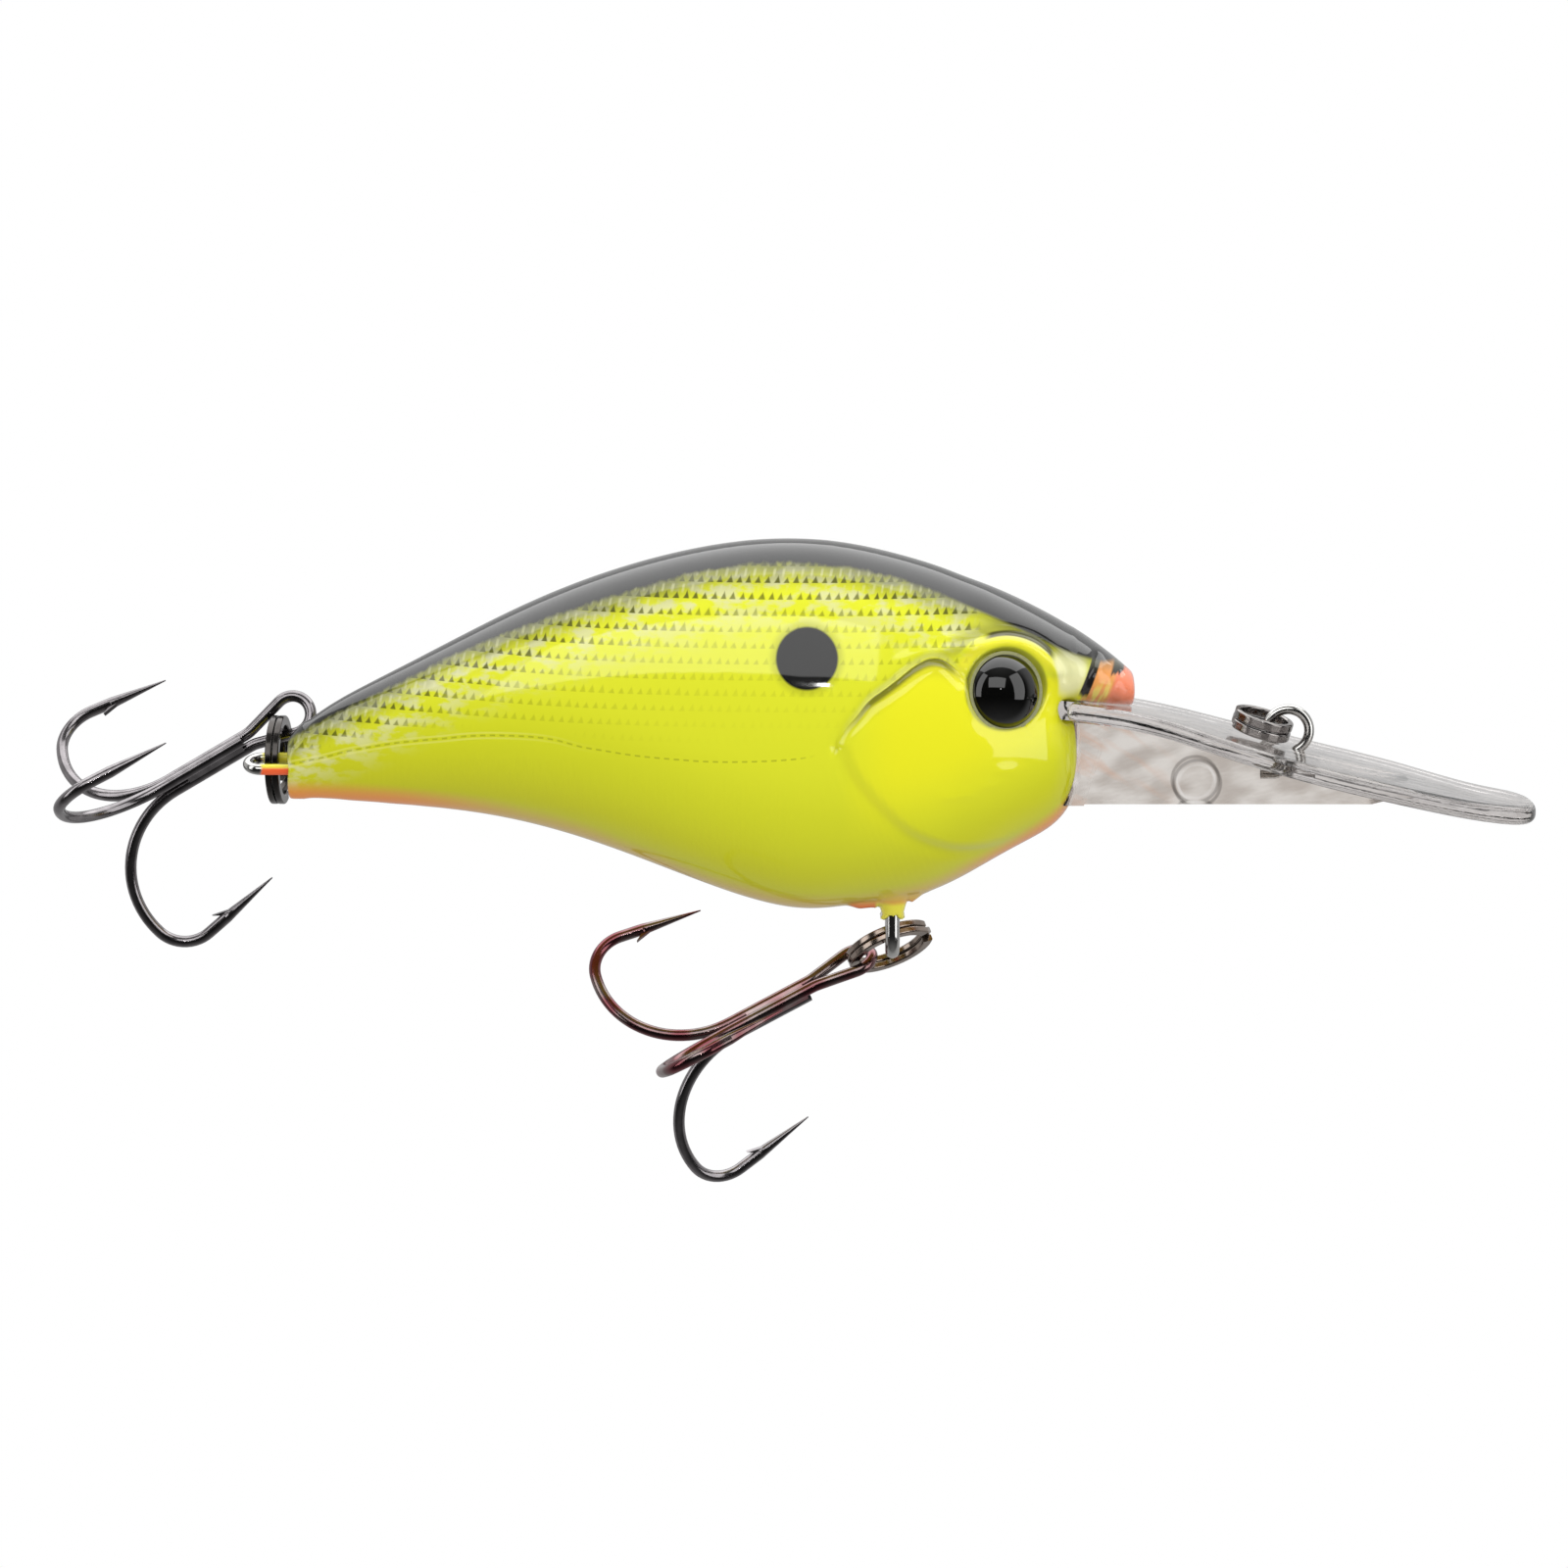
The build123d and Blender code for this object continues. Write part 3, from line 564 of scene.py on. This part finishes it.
def lip_material():
    """Clear moulded polycarbonate with a trace of grey and faint flow lines; on the web, painted reflections
    and a painted shade and highlight ring at the dimple.
    """
    m = Material("clear_polycarbonate", Transmission_Weight=1.0, IOR=1.38, Roughness=0.07)
    x, y, z = m.place()
    flow = m.noise(m.join(x * 0.12, y * 0.5, z * 0.5), 1.0, 2.0)
    under = z - x.curve([(-27.0, 2.9), (-19.0, 2.15), (-13.0, 1.25), (-5.6, -0.75), (2.4, -2.95),
                         (11.2, -5.1), (22.4, -7.2)])
    web = under.ramp(-0.8, -1.1) * y.abs().ramp(3.4, 3.2)
    plate_tint = m.mix(flow.ramp(0.35, 0.65), rgb("b6b1af"), rgb("ccc8c6"))
    # painted reflections: lighter and darker patches over the web
    reflection_patches = m.noise(m.join((x + z) * 0.16, (z - x * 0.3) * 0.55), 1.0, 3.0)
    web_tint_and_painted_light = m.mix(reflection_patches.ramp(0.38, 0.62), rgb("b8b0a9"), rgb("d8d3ce"))
    # painted reflection: the body's orange on the web next to it
    warm = m.noise(m.join((x + z * 1.4) * 0.5, z * 0.25), 1.0, 2.0).ramp(0.5, 0.62) * x.ramp(-9.0, -15.0)
    web_tint_and_painted_light = m.mix(warm * 0.35, web_tint_and_painted_light, rgb("cf9c7c"))
    dimple_x = x - DIMPLE[0]
    dimple_z = z - DIMPLE[1]
    from_dimple = (dimple_x * dimple_x + dimple_z * dimple_z).sqrt()
    # painted shade on the dimple's edge, and a painted highlight ring inside it
    web_tint_and_painted_light = m.mix((from_dimple - DIMPLE[2]).abs().ramp(0.22, 0.08) * 0.8, web_tint_and_painted_light, rgb("5e5955"))
    web_tint_and_painted_light = m.mix((from_dimple - 1.7).abs().ramp(0.2, 0.05) * 0.5, web_tint_and_painted_light, rgb("eeeceb"))
    m.feed("Base Color", m.mix(web, plate_tint, web_tint_and_painted_light))
    m.bump(flow * 0.12, MM, 0.25)
    return m


def eye_gloss():
    m = Material("black_eye_dome", Roughness=0.04, Specular_IOR_Level=0.6)
    x, y, z = m.place()
    m.feed("Base Color", m.mix(m.noise(m.join(x, y, z), 1.4, 2.0), rgb("040404"), rgb("0a0a09")))
    return m


def eye_rim():
    m = Material("eye_ring_print", Roughness=0.3, Coat_Weight=0.6, Coat_Roughness=0.05)
    x, y, z = m.place()
    m.feed("Base Color", m.mix(m.noise(m.join(x, y, z), 3.0, 2.0), rgb("6f7028"), rgb("94954a")))
    return m


def tail_wire_material():
    """Nickel, with the body's paint on the wire next to the tail."""
    m = Material("tail_wire", Roughness=0.14)
    x, y, z = m.place()
    painted = (x + m.noise(m.join(x, y, z), 1.3, 2.0) * 0.5).ramp(-92.9, -92.5)
    paint = m.mix(z.ramp(-3.4, -3.1), rgb("f0602a"), rgb("e0d830"))
    m.feed("Base Color", m.mix(painted, rgb("b8b7b4"), paint))
    m.feed("Metallic", painted.invert())
    m.feed("Roughness", painted * 0.25 + 0.12)
    return m


paint = body_paint()
skin = right_skin()
add_piece("right_painted_shell", skin, paint, "lure_body", "right_body_shell")
add_piece("left_painted_shell", mirrored(skin, "left_painted_shell"), paint, "lure_body", "left_body_shell")

bright = metal("bright_nickel", "c9c8c5", 0.10)
ring = metal("ring_nickel", "908c8a", 0.10)
smoked = metal("smoked_nickel", "9a8c82", 0.12)
dark_ring = metal("dark_nickel", "4c4947", 0.13)
hooks = metal("black_nickel", "8d898b", 0.14)
belly_hooks = metal("black_nickel_warm", "8a7c7a", 0.13, tint="743840")
steel = metal("steel_ball", "a8a8a8", 0.08)
lead = metal("ballast_metal", "7a7a7c", 0.35)
finishes = {
    "diving_lip": lip_material(),
    "line_tie_wire": bright,
    "line_tie_split_ring": ring,
    "belly_hook_hanger": bright,
    "belly_split_ring": smoked,
    "tail_split_ring": dark_ring,
    "tail_hook_hanger": tail_wire_material(),
    "right_eye_disc": eye_rim(),
    "right_eye_dome": eye_gloss(),
    "ballast_weight": lead,
    "front_rattle_ball": steel,
    "rear_rattle_ball": steel,
}
finishes["left_eye_disc"] = finishes["right_eye_disc"]
finishes["left_eye_dome"] = finishes["right_eye_dome"]
for part in ("double_hook", "single_hook", "braze"):
    finishes["tail_treble_" + part] = hooks
    finishes["belly_treble_" + part] = hooks if part == "single_hook" else belly_hooks
for name, material in finishes.items():
    dress(nodes[name], material)

# ---------------------------------------------------------------- camera
FRAME_WIDTH = 142.2 * MM          # width of the view at the lure
LENS = 150.0
SENSOR = 36.0
VIEW_ELEVATION = 7.0
aim = Vector((-45.65 * MM, 0, -4.9 * MM))
distance = FRAME_WIDTH * LENS / SENSOR
camera_data = bpy.data.cameras.new("camera")
camera_data.lens = LENS
camera_data.sensor_width = SENSOR
camera_data.clip_start = 0.01
camera = bpy.data.objects.new("camera", camera_data)
bpy.context.scene.collection.objects.link(camera)
tilt = radians(VIEW_ELEVATION)
camera.location = aim + distance * Vector((0, -cos(tilt), sin(tilt)))
camera.rotation_euler = (pi / 2 - tilt, 0, 0)
bpy.context.scene.camera = camera


# ---------------------------------------------------------------- studio
def panel(name, azimuth, elevation, reach, width, height, radiance):
    """A soft panel light that faces the lure. Azimuth 0 is the camera's side, positive to its right."""
    data = bpy.data.lights.new(name, "AREA")
    data.shape = "RECTANGLE"
    data.size = width
    data.size_y = height
    data.energy = radiance * pi * width * height
    light = bpy.data.objects.new(name, data)
    bpy.context.scene.collection.objects.link(light)
    a, e = radians(azimuth), radians(elevation)
    away = Vector((sin(a) * cos(e), -cos(a) * cos(e), sin(e)))
    light.location = aim + reach * away
    light.rotation_euler = away.to_track_quat("Z", "Y").to_euler()


panel("front_window", -12, 34, 0.7, 0.62, 0.38, 2.2)
panel("right_window", 58, 17, 0.7, 0.44, 0.92, 2.1)
panel("left_window", -68, 20, 0.7, 0.24, 0.80, 2.2)
panel("overhead_softbox", 180, 68, 0.6, 1.1, 0.70, 2.0)
panel("lamp", 1, 15, 0.7, 0.014, 0.014, 100)

world = bpy.data.worlds.new("studio")
bpy.context.scene.world = world
world.use_nodes = True
tree = world.node_tree
tree.nodes.clear()
rays = tree.nodes.new("ShaderNodeLightPath")
seen = Val(tree, rays.outputs["Is Camera Ray"]).most(Val(tree, rays.outputs["Is Transmission Ray"]))
direction = tree.nodes.new("ShaderNodeTexCoord").outputs["Generated"]
split = tree.nodes.new("ShaderNodeSeparateXYZ")
tree.links.new(direction, split.inputs[0])
across = Val(tree, split.outputs["Y"])
height = Val(tree, split.outputs["Z"])
gloss_front = height.curve([(-1.0, 0.25), (-0.5, 0.06), (-0.2, 0.02), (0.0, 0.02), (0.5, 0.04), (0.8, 0.15),
                            (1.0, 0.5)])
gloss_back = height.curve([(-1.0, 0.45), (-0.3, 0.5), (0.0, 0.62), (0.4, 0.72), (1.0, 0.6)])
behind = across.ramp(-0.2, 0.25)
gloss_glow = gloss_front * behind.invert() + gloss_back * behind
soft_glow = height.curve([(-1.0, 0.80), (-0.3, 0.62), (0.0, 0.35), (1.0, 0.35)])
diffuse_ray = Val(tree, rays.outputs["Is Diffuse Ray"])
glow = soft_glow * diffuse_ray + gloss_glow * diffuse_ray.invert()
strength = seen.most(glow)
background = tree.nodes.new("ShaderNodeBackground")
background.inputs["Color"].default_value = (1.0, 1.0, 1.0, 1.0)
tree.links.new(strength.socket, background.inputs["Strength"])
output = tree.nodes.new("ShaderNodeOutputWorld")
tree.links.new(background.outputs[0], output.inputs["Surface"])

# a white floor well below the hooks; it neither lights the lure nor shows in its gloss
floor_mesh = bpy.data.meshes.new("floor")
FLOOR_HALF = 3.0
FLOOR_Z = -0.35
corners = [(-FLOOR_HALF, -FLOOR_HALF, FLOOR_Z), (FLOOR_HALF, -FLOOR_HALF, FLOOR_Z),
           (FLOOR_HALF, FLOOR_HALF, FLOOR_Z), (-FLOOR_HALF, FLOOR_HALF, FLOOR_Z)]
floor_mesh.from_pydata(corners, [], [(0, 1, 2, 3)])
floor = bpy.data.objects.new("floor", floor_mesh)
bpy.context.scene.collection.objects.link(floor)
white = Material("white_floor", Roughness=0.9, Emission_Color=(1, 1, 1, 1), Emission_Strength=1.0)
white.shader.inputs["Base Color"].default_value = (0.0, 0.0, 0.0, 1)
white.shader.inputs["Specular IOR Level"].default_value = 0.0
dress(floor, white)
floor.visible_diffuse = False
floor.visible_glossy = False
floor.visible_shadow = False

settings = bpy.context.scene.view_settings
settings.view_transform = "Standard"
settings.look = "None"
